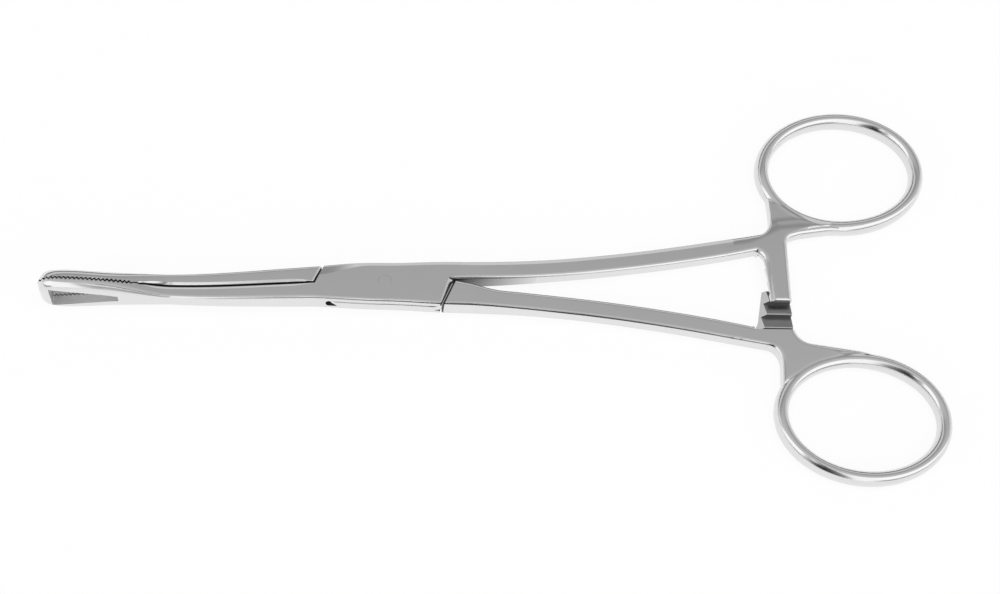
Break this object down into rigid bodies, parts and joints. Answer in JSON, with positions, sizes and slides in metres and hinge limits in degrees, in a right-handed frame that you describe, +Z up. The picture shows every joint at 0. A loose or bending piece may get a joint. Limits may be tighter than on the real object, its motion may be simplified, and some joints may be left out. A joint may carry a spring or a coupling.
{
  "type": "piercing clamp",
  "caption": "Slim ring-handled box lock clamp with a triangular windowed head, cross-serrated jaws and a sawtooth ratchet between its handles.",
  "frame": {"origin": "on the pivot pin's axis, at the underside of the box lock", "axes": "+X from the jaws to the finger rings, +Y to the side of the box half's finger ring, +Z up out of the lock's top cheek"},
  "size_m": [0.1976, 0.0896, 0.0121],
  "materials": {
    "box_half": "satin ground stainless steel",
    "tongue_half": "satin ground stainless steel",
    "pivot_pin": "ground flush with the cheeks"
  },
  "bodies": {
    "box": {"box_half": "box_half", "pivot_pin": "pivot_pin"},
    "tongue": {"tongue_half": "tongue_half"}
  },
  "joints": [
    {"name": "jaw_pivot", "type": "hinge", "parent": "box", "child": "tongue", "pos_m": [0, 0, 0.00275], "axis": [0, 0, -1], "range_deg": [0, 45]}
  ]
}
